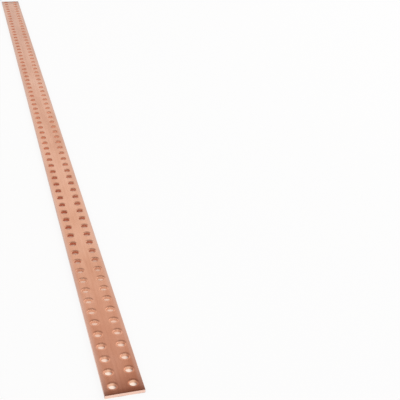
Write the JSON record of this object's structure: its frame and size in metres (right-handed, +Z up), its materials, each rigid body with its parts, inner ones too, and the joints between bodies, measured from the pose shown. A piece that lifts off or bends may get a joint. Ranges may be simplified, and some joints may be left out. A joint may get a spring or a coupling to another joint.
{
  "type": "copper busbar",
  "caption": "Long flat copper bar with two rows of punched holes along its whole length, for sharing out current in an electrical cabinet.",
  "frame": {"origin": "middle of the underside, half way along the bar and half way across it", "axes": "+X along the bar, from the end that is near in the picture to the far end; +Y across its width, to the left in the picture; +Z up, out of the broad face that shows in the picture"},
  "size_m": [1.75, 0.05, 0.005],
  "materials": {
    "copper": "bare drawn copper, satin, with faint lengthwise drawing lines"
  },
  "bodies": {
    "root": {"busbar": "copper"}
  },
  "joints": []
}
